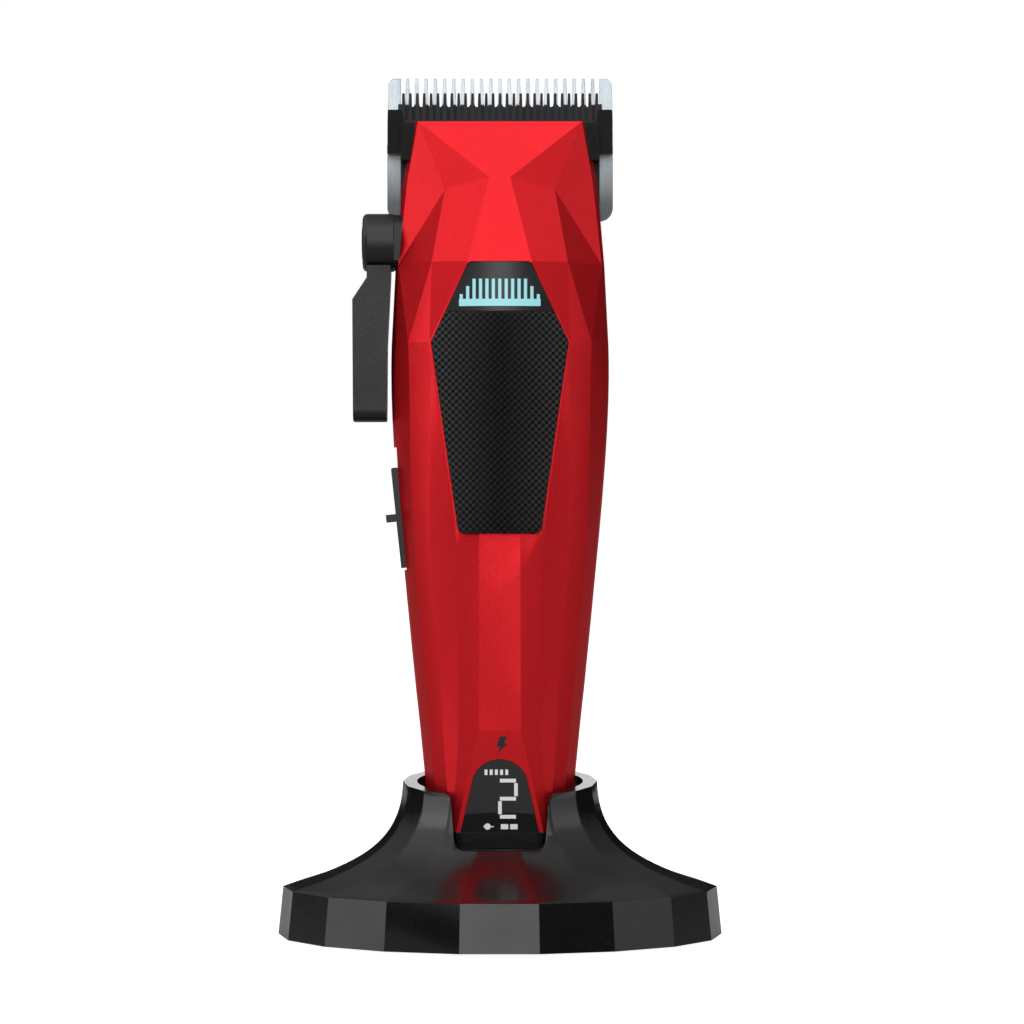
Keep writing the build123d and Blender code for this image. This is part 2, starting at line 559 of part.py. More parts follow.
def main_circuit_board():
    board = block((-8.4, 8.4), (9.9, 11.1), (38.0, 96.0))
    parts = [block((-5.5, -1.5), (11.1, 12.0), (70, 78)), block((2.0, 6.2), (11.1, 12.1), (82, 88)),
             block((-6.0, -3.0), (11.1, 11.9), (50, 56)), block((2.0, 5.0), (11.1, 12.0), (56, 62))]
    return board + parts


def display_board():
    board = block((-6.6, 6.6), (-11.5, -10.5), (24.6, 38.0))
    return board + block((-5.2, 5.2), (-12.6, -11.5), (26.0, 36.0))


def slide_switch():
    """The electrical switch behind the power button."""
    body = block((-16.6, -11.9), (-2.9, 2.9), (78.0, 91.3))
    return body - block((-17, -14.6), (-1.4, 1.4), (82.0, 90.9))


def switch_button():
    plate = switch_place((-0.95, 0.55), (-SWITCH_HALF_Y, SWITCH_HALF_Y), SWITCH_Z)
    plate = fillet(plate.edges().filter_by(Axis.Y).sort_by(Axis.X)[:2], 0.35)
    plate += switch_place((0.4, 2.6), (-SWITCH_HALF_Y + 0.4, SWITCH_HALF_Y - 0.4), (85.4, 87.0))
    plate += switch_place((-5.6, -0.9), (-0.9, 0.9), (83.9, 86.5))
    return plate


# ---- taper lever -------------------------------------------------------------------------------
def taper_lever():
    arm_x = [(-22.5, 138.0), (-22.5, 136.0), (-23.2, 121.3), (-23.3, LEVER_END_Z),
             (-30.2, LEVER_END_Z), (-30.35, 131.0), (-27.4, 135.5), (-27.4, 138.0)]
    face = polygon(arm_x)
    ends = face.vertices().group_by(Axis.Y)[0]
    face = fillet(ends, 0.35)
    arm = outline_y(face, HUB_Y - 4.4, HUB_Y + 4.4)
    arm -= [lever_corner(s) for s in (-1, 1)]
    hub = rod("X", (HUB_Y, HUB_Z), (-28.3, -21.9), HUB_R)
    hub = fillet(hub.edges().sort_by(Axis.X)[0], 1.1)
    neck = block((-27.3, -22.6), (HUB_Y - 3.4, HUB_Y + 3.4), (133.0, HUB_Z))
    lever = hub + arm + neck
    lever -= rod("X", (HUB_Y, HUB_Z), (-26.4, -21.0), LEVER_SHAFT_R)
    lever -= rod("X", (HUB_Y, HUB_Z), (-30.0, -26.0), 1.1)
    return lever - rod("X", (HUB_Y, HUB_Z), (-30.0, -27.0), 3.4)


def lever_corner(side):
    """Rounds the arm's lower corners as seen from the side."""
    radius, across = 2.4, (HUB_Y + side * 2.0, HUB_Y + side * 6)
    square = block((-40, -20), sorted(across), (LEVER_END_Z - 1, LEVER_END_Z + radius))
    return square - rod("X", (across[0], LEVER_END_Z + radius), (-40, -20), radius)


def lever_shaft():
    cam = (HUB_Y + CAM * cos(radians(CAM_REST)), HUB_Z + CAM * sin(radians(CAM_REST)))
    shaft = rod("X", (HUB_Y, HUB_Z), (-26.4, -18.2), LEVER_SHAFT_R)
    shaft += rod("X", cam, (-18.2, -14.6), CAM_PIN_R)
    return shaft - rod("X", (HUB_Y, HUB_Z), (-27, -22.4), 1.0)


def lever_screw():
    return screw("X", (HUB_Y, HUB_Z), (-27.9, -27.0), (-27.0, -22.6), 2.0, 1.0)


def lever_cap():
    cap = rod("X", (HUB_Y, HUB_Z), (-28.45, -27.0), 3.4)
    cap = fillet(cap.edges().sort_by(Axis.X)[0], 0.3)
    return cap - rod("X", (HUB_Y, HUB_Z), (-28.05, -27.0), 2.6)


def lever_bush():
    """Bearing of the lever's shaft, with a collar that follows the body's side."""
    collar = rod("X", (HUB_Y, HUB_Z), (-21.85, -18.6), HUB_R - 0.2)
    collar &= block((-23, -18), (-4.1, 10), (130, 150))
    collar -= facet_head() + strip_body()
    bush = rod("X", (HUB_Y, HUB_Z), (-21.6, -18.6), 4.2) + collar
    return bush - rod("X", (HUB_Y, HUB_Z), (-23, -18), LEVER_SHAFT_R + 0.05)


# ---- badge, grip and display ---------------------------------------------------------------------
def grip_pad():
    return panel_slab(0.25, 1.3, PAD_Z, BADGE_Z - 0.1) & panel_outline(0.12)


def badge_plate():
    return panel_slab(0.1, 1.3, BADGE_Z, BROW_Z) & panel_outline(0.12)


def badge_emblem():
    """A comb: a spine with teeth standing on it, shorter at both ends."""
    teeth, pitch, z = 13, 1.3, (128.95, 134.5)
    comb = bar(-8.25, 8.25, z[0], z[0] + 1.45)
    for i in range(teeth):
        x = (i - (teeth - 1) / 2) * pitch
        top = min(z[1], z[1] - 1.25 * (abs(x) - 5.3))
        comb += bar(x - 0.32, x + 0.32, z[0] + 1.0, top)
    raised = panel_slab(0.28, -0.1, BADGE_Z, BROW_Z)
    return outline_y(comb, -30, 0) & raised


def display_window():
    return on_display(display_arch(0.08), 0.12, 1.3)


def display_digit():
    """The numeral two, as the lit segments of a seven-segment display."""
    x0, x1, v0, v1, w = -0.35, 3.65, 2.9, 11.1, 0.75
    mid, gap = (v0 + v1) / 2, 0.16
    segments = [bar(x0 + w / 2, x1 - w / 2, v, v + w) for v in (v0, mid - w / 2, v1 - w)]
    segments += [bar(x1 - w, x1, mid + w / 2 + gap, v1 - w - gap),
                 bar(x0, x0 + w, v0 + w + gap, mid - w / 2 - gap)]
    return group(on_display(s, 0.2, -0.12) for s in segments)


def display_icons():
    """Charge level bars, a plug and two status bars."""
    marks = [bar(-3.1 + 1.05 * i, -2.5 + 1.05 * i, 11.9, 13.0) for i in range(5)]
    plug = Pos(-2.5, 1.25) * Circle(0.65) + bar(-3.3, -2.5, 1.08, 1.42) + bar(-2.5, -1.2, 1.15, 1.35)
    marks += [plug, bar(0.2, 1.7, 0.7, 1.75), bar(2.1, 3.6, 0.7, 1.75)]
    return group(on_display(m, 0.2, -0.12) for m in marks)


def face_mark():
    """A small dark charging mark above the display."""
    bolt = polygon([(0.0, 19.8), (1.45, 19.8), (0.85, 18.4), (1.6, 18.4), (-0.55, 16.2),
                    (0.1, 17.75), (-0.7, 17.75)])
    return on_display(bolt, 0.12, -0.005)


# ---- stand -----------------------------------------------------------------------------------
def flare(t):
    """The stand's concave sweep from the collar (t = 0) to the rim (t = 1): corner radius, z."""
    knots = [(COLLAR_R, COLLAR_TOP_Z + 1.6), (COLLAR_R, 20.0), (27.0, 15.5), (STAND_RIM_R, STAND_RIM_Z)]
    weights = [(1 - t) ** 3, 3 * t * (1 - t) ** 2, 3 * t ** 2 * (1 - t), t ** 3]
    return tuple(sum(w * k[i] for w, k in zip(weights, knots)) for i in (0, 1))


def side_ring(radius, z):
    """An 18-sided outline with a flat side to the front."""
    return Plane.XY.offset(z) * Rot(0, 0, 180 / SIDES + 90) * RegularPolygon(radius, SIDES)


def stand_shell():
    steps = [0.0, 0.18, 0.34, 0.5, 0.64, 0.76, 0.88, 1.0]
    rings = [side_ring(*flare(t)) for t in reversed(steps)]
    shell = loft(rings) + loft([side_ring(STAND_FOOT_R, SHELL_UNDER_Z),
                                side_ring(STAND_RIM_R, STAND_RIM_Z)], ruled=True)
    hollow = Polyline((TUBE_R, -1), (TUBE_R, 21.0))
    hollow += Bezier((TUBE_R, 21.0), (TUBE_R + 0.4, 16.5), (29.0, 12.3), (HOLLOW_R, 8.0))
    hollow += Polyline((HOLLOW_R, 8.0), (HOLLOW_R, -1), (TUBE_R, -1))
    shell -= revolve(Plane.XZ * make_face(hollow), Axis.Z)
    shell -= rod("Z", (0, 0), (CUP_SEAT_Z, 60), POCKET_R)
    shell -= rod("Z", (0, 0), (-1, CUP_SEAT_Z + 1), 16.2)
    shell -= rod("Z", (0, 0), (-1, 3.0), HOLLOW_R)
    for x, y in stand_screw_places():
        shell += rod("Z", (x, y), (3.0, 17.0), 2.4) - rod("Z", (0, 0), (0, 40), POCKET_R)
        shell -= rod("Z", (x, y), (2.0, 12.0), 1.1)
    top = Pos(0, 0, COLLAR_TOP_Z) * Rot(COLLAR_SLOPE, 0, 0) * block((-60, 60), (-60, 60), (0, 40))
    shell -= top
    shell -= notch(NOTCH_HALF)
    shell -= outline_y(Pos(0, 5.6) * RectangleRounded(9.5, 3.7, 1.75), 34, 50)
    for x in (-1.6, 1.6):
        shell -= rod("Y", (x, 8.4), (10, 24), 1.0)
    return biggest(shell)


def notch(half):
    """The U-shaped opening in the collar's front, a little wider and rounded at its mouth."""
    outline = [(half, NOTCH_Z), (half + 0.85, 29.0), (half + 1.15, 29.7), (half + 1.8, 30.2),
               (half + 4.0, 60)]
    face = polygon(both_sides(outline))
    face = fillet(face.vertices().group_by(Axis.Y)[0], 2.1)
    return outline_y(face, -40, 0)


def cradle_cup():
    """Liner at the bottom of the pocket that the clipper stands on."""
    cup = rod("Z", (0, 0), (CUP_SEAT_Z, CAP_Z), POCKET_R - 0.1)
    for s in (-1, 1):
        cup -= rod("Z", (s * PIN_X, PIN_Y), (0, 40), PIN_R + 0.1)
    return cup


def stand_screw_places():
    return [(22.2 * cos(radians(a)), 22.2 * sin(radians(a))) for a in (90 + 60, 90 - 60, 270)]


def stand_base_plate():
    plate = rod("Z", (0, 0), (0.8, 3.0), HOLLOW_R - 0.2)
    for x, y in stand_screw_places():
        plate -= rod("Z", (x, y), (0, 4), 1.4)
        plate -= rod("Z", (x, y), (0, 2.2), 2.5)
    for x, y in FEET:
        plate -= rod("Z", (x, y), (0, 1.6), 4.5)
    return plate


def stand_feet():
    return group(fillet(rod("Z", (x, y), (0, 1.6), 4.4).edges().group_by(Axis.Z)[0], 0.4) for x, y in FEET)


def stand_screws():
    return group(screw("Z", (x, y), (0.9, 2.2), (2.2, 11.0), 2.2, 1.1) for x, y in stand_screw_places())


def stand_ballast():
    weight = tube("Z", (0, 0), (3.0, 7.3), 37.5, 26.0)
    return weight - block((-8, 8), (0, 40), (2, 9))


def contact_block():
    body = block((-8.5, 8.5), (-3.0, 7.0), (6.8, CUP_SEAT_Z))
    for s in (-1, 1):
        body -= rod("Z", (s * PIN_X, PIN_Y), (8.0, 12.6), 1.8)
        body -= rod("Z", (s * PIN_X, PIN_Y), (12.0, 15.0), PIN_R + 0.06)
    return body


def contact_pin(side):
    """Sprung pin that touches the pad under the clipper."""
    pin = rod("Z", (side * PIN_X, PIN_Y), (11.6, CAP_Z - 0.04), PIN_R)
    pin = fillet(pin.edges().sort_by(Axis.Z)[-1], 0.4)
    return pin + rod("Z", (side * PIN_X, PIN_Y), (11.6, 12.5), 1.65)


def contact_spring(side):
    """Coil spring under the pin, as a thin sleeve the size of its coil."""
    return tube("Z", (side * PIN_X, PIN_Y), (8.05, 11.55), 1.6, 1.25)


def stand_circuit_board():
    board = rod("Z", (0, 0), (5.2, 6.8), 15.4)
    return board + block((-4, 4), (9.5, 13.6), (6.8, 10.2)) + block((-9, -5), (-10, -5), (6.8, 8.4))


def stand_inlet():
    return socket(Plane((0, 44.2, 5.6), x_dir=(1, 0, 0), z_dir=(0, 1, 0)))


def stand_lead():
    return group(rod("Y", (x, 8.4), (13.6, 33.5), 0.8) for x in (-1.6, 1.6))


def clipper_inlet():
    return socket(Plane((0, 8.0, CAP_Z), x_dir=(1, 0, 0), z_dir=(0, 0, -1)))


def main():
    front_cover, rear_cover = covers()
    nodes = {
        "stand_shell": stand_shell(), "cradle_cup": cradle_cup(), "stand_base_plate": stand_base_plate(),
        "stand_feet": stand_feet(), "stand_screws": stand_screws(), "stand_ballast": stand_ballast(),
        "contact_block": contact_block(), "stand_circuit_board": stand_circuit_board(),
        "stand_inlet": stand_inlet(), "stand_lead": stand_lead(),
        "contact_spring_left": contact_spring(-1), "contact_spring_right": contact_spring(1),
        "contact_pin_left": contact_pin(-1), "contact_pin_right": contact_pin(1),
        "front_cover": front_cover, "rear_cover": rear_cover, "housing_screws": housing_screws(),
        "bottom_cap": bottom_cap(), "charge_pads": charge_pads(), "clipper_inlet": clipper_inlet(),
        "head_block": head_block(), "head_screws": head_screws(), "inner_chassis": inner_chassis(),
        "grip_pad": grip_pad(), "badge_plate": badge_plate(), "badge_emblem": badge_emblem(),
        "display_window": display_window(), "display_digit": display_digit(),
        "display_icons": display_icons(), "face_mark": face_mark(), "display_board": display_board(),
        "battery_cell": battery_cell(), "battery_tabs": battery_tabs(),
        "main_circuit_board": main_circuit_board(), "slide_switch": slide_switch(),
        "motor_can": motor_can(), "motor_end_cap": motor_end_cap(), "motor_magnets": motor_magnets(),
        "motor_bearings": motor_bearings(), "motor_screws": motor_screws(),
        "cutter_spring": cutter_spring(), "lever_bush": lever_bush(),
        "motor_shaft": motor_shaft(), "motor_armature": motor_armature(),
        "eccentric_drive": eccentric_drive(), "cutter_blade": cutter_blade(), "drive_yoke": drive_yoke(),
        "blade_carriage_plate": blade_carriage(), "fixed_blade": fixed_blade(),
        "blade_screws": blade_screws(), "taper_lever_arm": taper_lever(), "lever_shaft": lever_shaft(),
        "lever_screw": lever_screw(), "lever_cap": lever_cap(), "switch_button": switch_button(),
    }
    os.makedirs("parts", exist_ok=True)
    for name, shape in nodes.items():
        export_step(shape, f"parts/{name}.step")


main()
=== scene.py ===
import math

import bmesh
import bpy
import numpy as np
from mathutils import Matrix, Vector
from mathutils.bvhtree import BVHTree


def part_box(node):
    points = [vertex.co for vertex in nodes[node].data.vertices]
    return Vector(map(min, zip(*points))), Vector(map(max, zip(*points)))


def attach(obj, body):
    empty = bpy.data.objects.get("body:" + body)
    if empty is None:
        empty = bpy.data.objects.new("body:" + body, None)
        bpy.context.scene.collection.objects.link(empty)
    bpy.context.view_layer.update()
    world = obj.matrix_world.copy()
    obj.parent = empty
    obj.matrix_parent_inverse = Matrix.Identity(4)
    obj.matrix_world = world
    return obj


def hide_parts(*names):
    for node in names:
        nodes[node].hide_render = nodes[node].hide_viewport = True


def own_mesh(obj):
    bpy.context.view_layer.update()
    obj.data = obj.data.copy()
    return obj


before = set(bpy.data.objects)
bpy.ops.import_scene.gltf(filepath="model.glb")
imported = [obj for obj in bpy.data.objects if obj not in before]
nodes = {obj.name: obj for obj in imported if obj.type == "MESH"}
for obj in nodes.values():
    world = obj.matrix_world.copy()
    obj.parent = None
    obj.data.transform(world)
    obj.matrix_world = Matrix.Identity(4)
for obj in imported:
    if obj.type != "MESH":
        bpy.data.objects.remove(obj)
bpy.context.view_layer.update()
MM = 0.001


# ---- shader building ---------------------------------------------------------------------
def put(tree, kind, inputs=None, **settings):
    """Adds a shader node; each input is a number, a colour or another node's output."""
    node = tree.nodes.new(kind)
    for key, value in settings.items():
        setattr(node, key, value)
    for key, value in (inputs or {}).items():
        if isinstance(value, bpy.types.NodeSocket):
            tree.links.new(value, node.inputs[key])
        else:
            node.inputs[key].default_value = value
    return node


def maths(tree, kind, a, b=0.0):
    """One sum on two values; kinds that take a single value ignore b."""
    return put(tree, "ShaderNodeMath", {0: a, 1: b}, operation=kind).outputs[0]


def product(tree, *factors):
    """All the factors multiplied together."""
    total = factors[0]
    for factor in factors[1:]:
        total = maths(tree, "MULTIPLY", total, factor)
    return total


def spread(tree, value, low, high, to_low=0.0, to_high=1.0):
    """Stretches low..high to to_low..to_high, clamped."""
    return put(tree, "ShaderNodeMapRange", {"Value": value, "From Min": low, "From Max": high,
                                            "To Min": to_low, "To Max": to_high}).outputs["Result"]


def below(tree, value, level, ramp):
    """1 where the value is under the level and 0 above it, over a ramp to either side."""
    return spread(tree, value, level + ramp, level - ramp)


def blend_colour(tree, mask, a, b):
    """Colour a where the mask is 0 and colour b where it is 1."""
    node = put(tree, "ShaderNodeMix", {"Factor": mask}, data_type="RGBA")
    for socket, value in ((node.inputs[6], a), (node.inputs[7], b)):
        if isinstance(value, bpy.types.NodeSocket):
            tree.links.new(value, socket)
        else:
            socket.default_value = (*value, 1.0)
    return node.outputs[2]


def new_group(name, inputs, outputs):
    """An empty effect: inputs are (name, default) and outputs (name, socket type)."""
    tree = bpy.data.node_groups.new(name, "ShaderNodeTree")
    for label, default in inputs:
        kind = "NodeSocketVector" if isinstance(default, tuple) else "NodeSocketFloat"
        socket = tree.interface.new_socket(label, in_out="INPUT", socket_type=kind)
        socket.default_value = default
    for label, kind in outputs:
        tree.interface.new_socket(label, in_out="OUTPUT", socket_type=kind)
    return tree, put(tree, "NodeGroupInput").outputs, put(tree, "NodeGroupOutput").inputs


def on_object(tree):
    """The place on the piece itself, in metres."""
    return put(tree, "ShaderNodeTexCoord").outputs["Object"]


def moulded_grain():
    """Fine sparked texture of a moulding: a mask of its peaks and a height in metres."""
    tree, given, out = new_group("moulded grain", [("Scale", 2600.0), ("Depth", 0.00001)],
                                 [("Mask", "NodeSocketFloat"), ("Height", "NodeSocketFloat")])
    noise = put(tree, "ShaderNodeTexNoise", {"Vector": on_object(tree), "Scale": given["Scale"],
                                             "Detail": 3.0, "Roughness": 0.6})
    cells = put(tree, "ShaderNodeTexVoronoi", {"Vector": on_object(tree), "Scale": given["Scale"]},
                feature="SMOOTH_F1")
    peaks = product(tree, spread(tree, noise.outputs["Fac"], 0.3, 0.7),
                    spread(tree, cells.outputs["Distance"], 0.0, 0.8, 1.0, 0.3))
    tree.links.new(peaks, out["Mask"])
    tree.links.new(product(tree, peaks, given["Depth"]), out["Height"])
    return tree


def worn_edges():
    """Where a piece's outer edges catch rubbing: 1 on a crisp edge, broken up, 0 elsewhere."""
    tree, given, out = new_group("worn edges", [("Radius", 0.0004), ("Amount", 1.0)],
                                 [("Mask", "NodeSocketFloat")])
    soft = put(tree, "ShaderNodeBevel", {"Radius": given["Radius"]}, samples=4)
    face = put(tree, "ShaderNodeNewGeometry")
    facing = put(tree, "ShaderNodeVectorMath",
                 {0: soft.outputs["Normal"], 1: face.outputs["Normal"]}, operation="DOT_PRODUCT")
    edge = spread(tree, facing.outputs["Value"], 0.995, 0.93)
    breaks = put(tree, "ShaderNodeTexNoise", {"Vector": on_object(tree), "Scale": 420.0,
                                              "Detail": 4.0, "Roughness": 0.7})
    broken = spread(tree, breaks.outputs["Fac"], 0.38, 0.62, 0.25, 1.0)
    tree.links.new(product(tree, edge, broken, given["Amount"]), out["Mask"])
    return tree


LINE_DEPTH = 0.002 * MM          # of the lines that a grinding wheel leaves


def ground_lines():
    """Grinding lines: noise squeezed across them. Stretch is (x, y, z) lines per metre."""
    tree, given, out = new_group("ground lines", [("Stretch", (60.0, 3000.0, 3000.0))],
                                 [("Mask", "NodeSocketFloat"), ("Height", "NodeSocketFloat")])
    squeezed = put(tree, "ShaderNodeVectorMath", {0: on_object(tree), 1: given["Stretch"]},
                   operation="MULTIPLY")
    fine = put(tree, "ShaderNodeTexNoise", {"Vector": squeezed.outputs[0], "Scale": 1.0,
                                            "Detail": 4.0, "Roughness": 0.65})
    mask = spread(tree, fine.outputs["Fac"], 0.3, 0.7)
    tree.links.new(mask, out["Mask"])
    tree.links.new(product(tree, mask, LINE_DEPTH), out["Height"])
    return tree


def paint_flakes():
    """Aluminium flakes in a paint: a mask that differs from flake to flake, and a tilted normal."""
    tree, given, out = new_group("paint flakes", [("Scale", 9000.0), ("Tilt", 0.08)],
                                 [("Mask", "NodeSocketFloat"), ("Normal", "NodeSocketVector")])
    cells = put(tree, "ShaderNodeTexVoronoi", {"Vector": on_object(tree), "Scale": given["Scale"]})
    centred = put(tree, "ShaderNodeVectorMath", {0: cells.outputs["Color"], 1: (0.5, 0.5, 0.5)},
                  operation="SUBTRACT")
    tilted = put(tree, "ShaderNodeVectorMath", {0: centred.outputs[0], "Scale": given["Tilt"]},
                 operation="SCALE")
    face = put(tree, "ShaderNodeNewGeometry")
    leaning = put(tree, "ShaderNodeVectorMath", {0: tilted.outputs[0], 1: face.outputs["Normal"]},
                  operation="ADD")
    normal = put(tree, "ShaderNodeVectorMath", {0: leaning.outputs[0]}, operation="NORMALIZE")
    channel = put(tree, "ShaderNodeSeparateColor", {0: cells.outputs["Color"]})
    tree.links.new(channel.outputs[0], out["Mask"])
    tree.links.new(normal.outputs[0], out["Normal"])
    return tree


def handling_haze():
    """Broad, faint patches where a surface has been handled."""
    tree, given, out = new_group("handling haze", [("Scale", 45.0)], [("Mask", "NodeSocketFloat")])
    noise = put(tree, "ShaderNodeTexNoise", {"Vector": on_object(tree), "Scale": given["Scale"],
                                             "Detail": 5.0, "Roughness": 0.62, "Distortion": 0.4})
    tree.links.new(spread(tree, noise.outputs["Fac"], 0.35, 0.68), out["Mask"])
    return tree


GRAIN, EDGES, GROUND = moulded_grain(), worn_edges(), ground_lines()
FLAKES, HAZE = paint_flakes(), handling_haze()


def effect(tree, group, **inputs):
    """One of the shared effects, with its own settings; gives the effect's outputs."""
    node = put(tree, "ShaderNodeGroup", node_tree=group)
    for key, value in inputs.items():
        node.inputs[key].default_value = value
    return node.outputs


def bump(tree, height, strength=1.0):
    """A normal from a height in metres."""
    return put(tree, "ShaderNodeBump", {"Strength": strength, "Distance": 1.0,
                                        "Height": height}).outputs["Normal"]


def start_material(name, **constants):
    """An empty material with a Principled shader; constants are set on the shader's own sockets."""
    material = bpy.data.materials.new(name)
    material.use_nodes = True
    tree = material.node_tree
    tree.nodes.clear()
    shader = put(tree, "ShaderNodeBsdfPrincipled")
    put(tree, "ShaderNodeOutputMaterial", {"Surface": shader.outputs[0]})
    for key, value in constants.items():
        shader.inputs[key.replace("_", " ")].default_value = value
    return material, tree, shader.inputs


# ---- finishes ----------------------------------------------------------------------------
def moulding(name, dark, light, rough, worn, grain=2600.0, depth=0.000012, **constants):
    """A moulded plastic or rubber: sparked grain, faint haze in its gloss, rubbed edges."""
    material, tree, shader = start_material(name, **constants)
    sparks = effect(tree, GRAIN, Scale=grain, Depth=depth)
    haze = effect(tree, HAZE, Scale=55.0)["Mask"]
    edge = effect(tree, EDGES, Radius=0.0004, Amount=0.5)["Mask"]
    mottled = blend_colour(tree, sparks["Mask"], dark, light)
    tree.links.new(blend_colour(tree, edge, mottled, worn), shader["Base Color"])
    gloss = maths(tree, "ADD", spread(tree, haze, 0.0, 1.0, -0.03, 0.04),
                  spread(tree, sparks["Mask"], 0.0, 1.0, rough - 0.03, rough + 0.04))
    tree.links.new(gloss, shader["Roughness"])
    tree.links.new(bump(tree, sparks["Height"]), shader["Normal"])
    return material


def metal(name, dark, light, rough, stretch, wear=0.35, worn=(0.9, 0.9, 0.9), **constants):
    """A machined or ground metal: lines one way, haze in the gloss, rubbed edges."""
    constants.setdefault("Metallic", 1.0)
    material, tree, shader = start_material(name, **constants)
    lines = effect(tree, GROUND, Stretch=stretch)
    haze = effect(tree, HAZE, Scale=90.0)["Mask"]
    edge = effect(tree, EDGES, Radius=0.00015, Amount=wear)["Mask"]
    streaked = blend_colour(tree, lines["Mask"], dark, light)
    tree.links.new(blend_colour(tree, edge, streaked, worn), shader["Base Color"])
    gloss = maths(tree, "ADD", spread(tree, haze, 0.0, 1.0, -0.03, 0.05),
                  spread(tree, lines["Mask"], 0.0, 1.0, rough - 0.05, rough + 0.06))
    tree.links.new(gloss, shader["Roughness"])
    tree.links.new(bump(tree, lines["Height"], 0.7), shader["Normal"])
    return material


def red_paint():
    """Satin metallic red over the covers, under a thin lacquer."""
    material, tree, shader = start_material("red satin paint", Metallic=0.82, Coat_Roughness=0.3,
                                            Coat_Weight=0.10, Specular_Tint=(1, 0.2, 0.2, 1))
    flakes = effect(tree, FLAKES, Scale=8000.0, Tilt=0.10)
    haze = effect(tree, HAZE, Scale=35.0)["Mask"]
    edge = effect(tree, EDGES, Radius=0.0003, Amount=0.35)["Mask"]
    body = blend_colour(tree, flakes["Mask"], (0.60, 0.011, 0.016), (0.70, 0.017, 0.024))
    tree.links.new(blend_colour(tree, edge, body, (0.80, 0.03, 0.04)), shader["Base Color"])
    tree.links.new(spread(tree, haze, 0.0, 1.0, 0.41, 0.47), shader["Roughness"])
    tree.links.new(flakes["Normal"], shader["Normal"])
    return material


# The fixed blade's front carries a painted shadow where it lies behind the cutter's teeth; the
# painted shadow ends this far out to the sides, this high and this far back, each over a short ramp.
PAINTED_SHADOW_HALF, HALF_RAMP = 20.65 * MM, 0.05 * MM
PAINTED_SHADOW_TOP, TOP_RAMP = 171.85 * MM, 0.15 * MM
PAINTED_SHADOW_BACK, BACK_RAMP = 6.7 * MM, 0.10 * MM
SHADED_FOOT = 151.4 * MM         # painted shade: the blade is painted dark at this height
BRIGHT_TOP = 168.4 * MM          # and fully bright from here up


def fixed_blade_steel():
    """Ground steel: a painted shadow where its front shows between the cutter's teeth, painted shade
    low down.
    """
    material, tree, shader = start_material("ground blade steel", Metallic=1.0)
    lines = effect(tree, GROUND, Stretch=(2600.0, 2600.0, 70.0))
    haze = effect(tree, HAZE, Scale=70.0)["Mask"]
    edge = effect(tree, EDGES, Radius=0.00028, Amount=1.0)["Mask"]
    place = put(tree, "ShaderNodeSeparateXYZ", {0: on_object(tree)}).outputs
    # painted shadow: the front behind the cutter, in shade between its teeth, is painted near black
    painted_shadow = product(tree, below(tree, maths(tree, "ABSOLUTE", place["X"]), PAINTED_SHADOW_HALF, HALF_RAMP),
                    below(tree, place["Z"], PAINTED_SHADOW_TOP, TOP_RAMP),
                    below(tree, place["Y"], PAINTED_SHADOW_BACK, BACK_RAMP))
    # painted shade: a lit and a shaded copy of the steel, blended by height
    bright = blend_colour(tree, lines["Mask"], (0.26, 0.29, 0.308), (0.35, 0.382, 0.405))
    shaded_steel = blend_colour(tree, lines["Mask"], (0.04, 0.043, 0.047), (0.06, 0.063, 0.068))
    steel = blend_colour(tree, spread(tree, place["Z"], SHADED_FOOT, BRIGHT_TOP), shaded_steel, bright)
    steel = blend_colour(tree, edge, steel, (0.05, 0.054, 0.058))
    tree.links.new(blend_colour(tree, painted_shadow, steel, (0.012, 0.012, 0.014)), shader["Base Color"])
    gloss = maths(tree, "ADD", spread(tree, haze, 0.0, 1.0, -0.03, 0.04),
                  spread(tree, lines["Mask"], 0.0, 1.0, 0.24, 0.36))
    tree.links.new(gloss, shader["Roughness"])
    tree.links.new(bump(tree, lines["Height"], 0.6), shader["Normal"])
    return material


SHADE_BAND_TOP = 26.3 * MM             # top of the display's band of painted shade, in its middle
SHADE_BAND_RAMP = 0.10 * MM            # its soft edge, to either side of that height
SHADE_BAND_SAG = 8.0                   # how fast the band's top falls to the sides, per metre


def display_glass():
    """Smoked window: a paler printed field above, painted shade below a shallow arch."""
    material, tree, shader = start_material("smoked display window", Specular_IOR_Level=0.12,
                                            Coat_Weight=0.1, Coat_Roughness=0.05)
    place = put(tree, "ShaderNodeSeparateXYZ", {0: on_object(tree)}).outputs
    # painted shade: the window is painted darker below a shallow arch
    fall = product(tree, place["X"], place["X"], SHADE_BAND_SAG)
    band = below(tree, maths(tree, "ADD", place["Z"], fall), SHADE_BAND_TOP, SHADE_BAND_RAMP)
    specks = effect(tree, GRAIN, Scale=5200.0, Depth=0.000002)
    haze = effect(tree, HAZE, Scale=120.0)["Mask"]
    upper = blend_colour(tree, specks["Mask"], (0.030, 0.030, 0.030), (0.036, 0.036, 0.036))
    tree.links.new(blend_colour(tree, band, upper, (0.005, 0.005, 0.005)), shader["Base Color"])
    tree.links.new(spread(tree, haze, 0.0, 1.0, 0.16, 0.26), shader["Roughness"])
    tree.links.new(bump(tree, specks["Height"]), shader["Normal"])
    return material


GRIP_CELL = 0.70 * MM            # side of one check on the grip


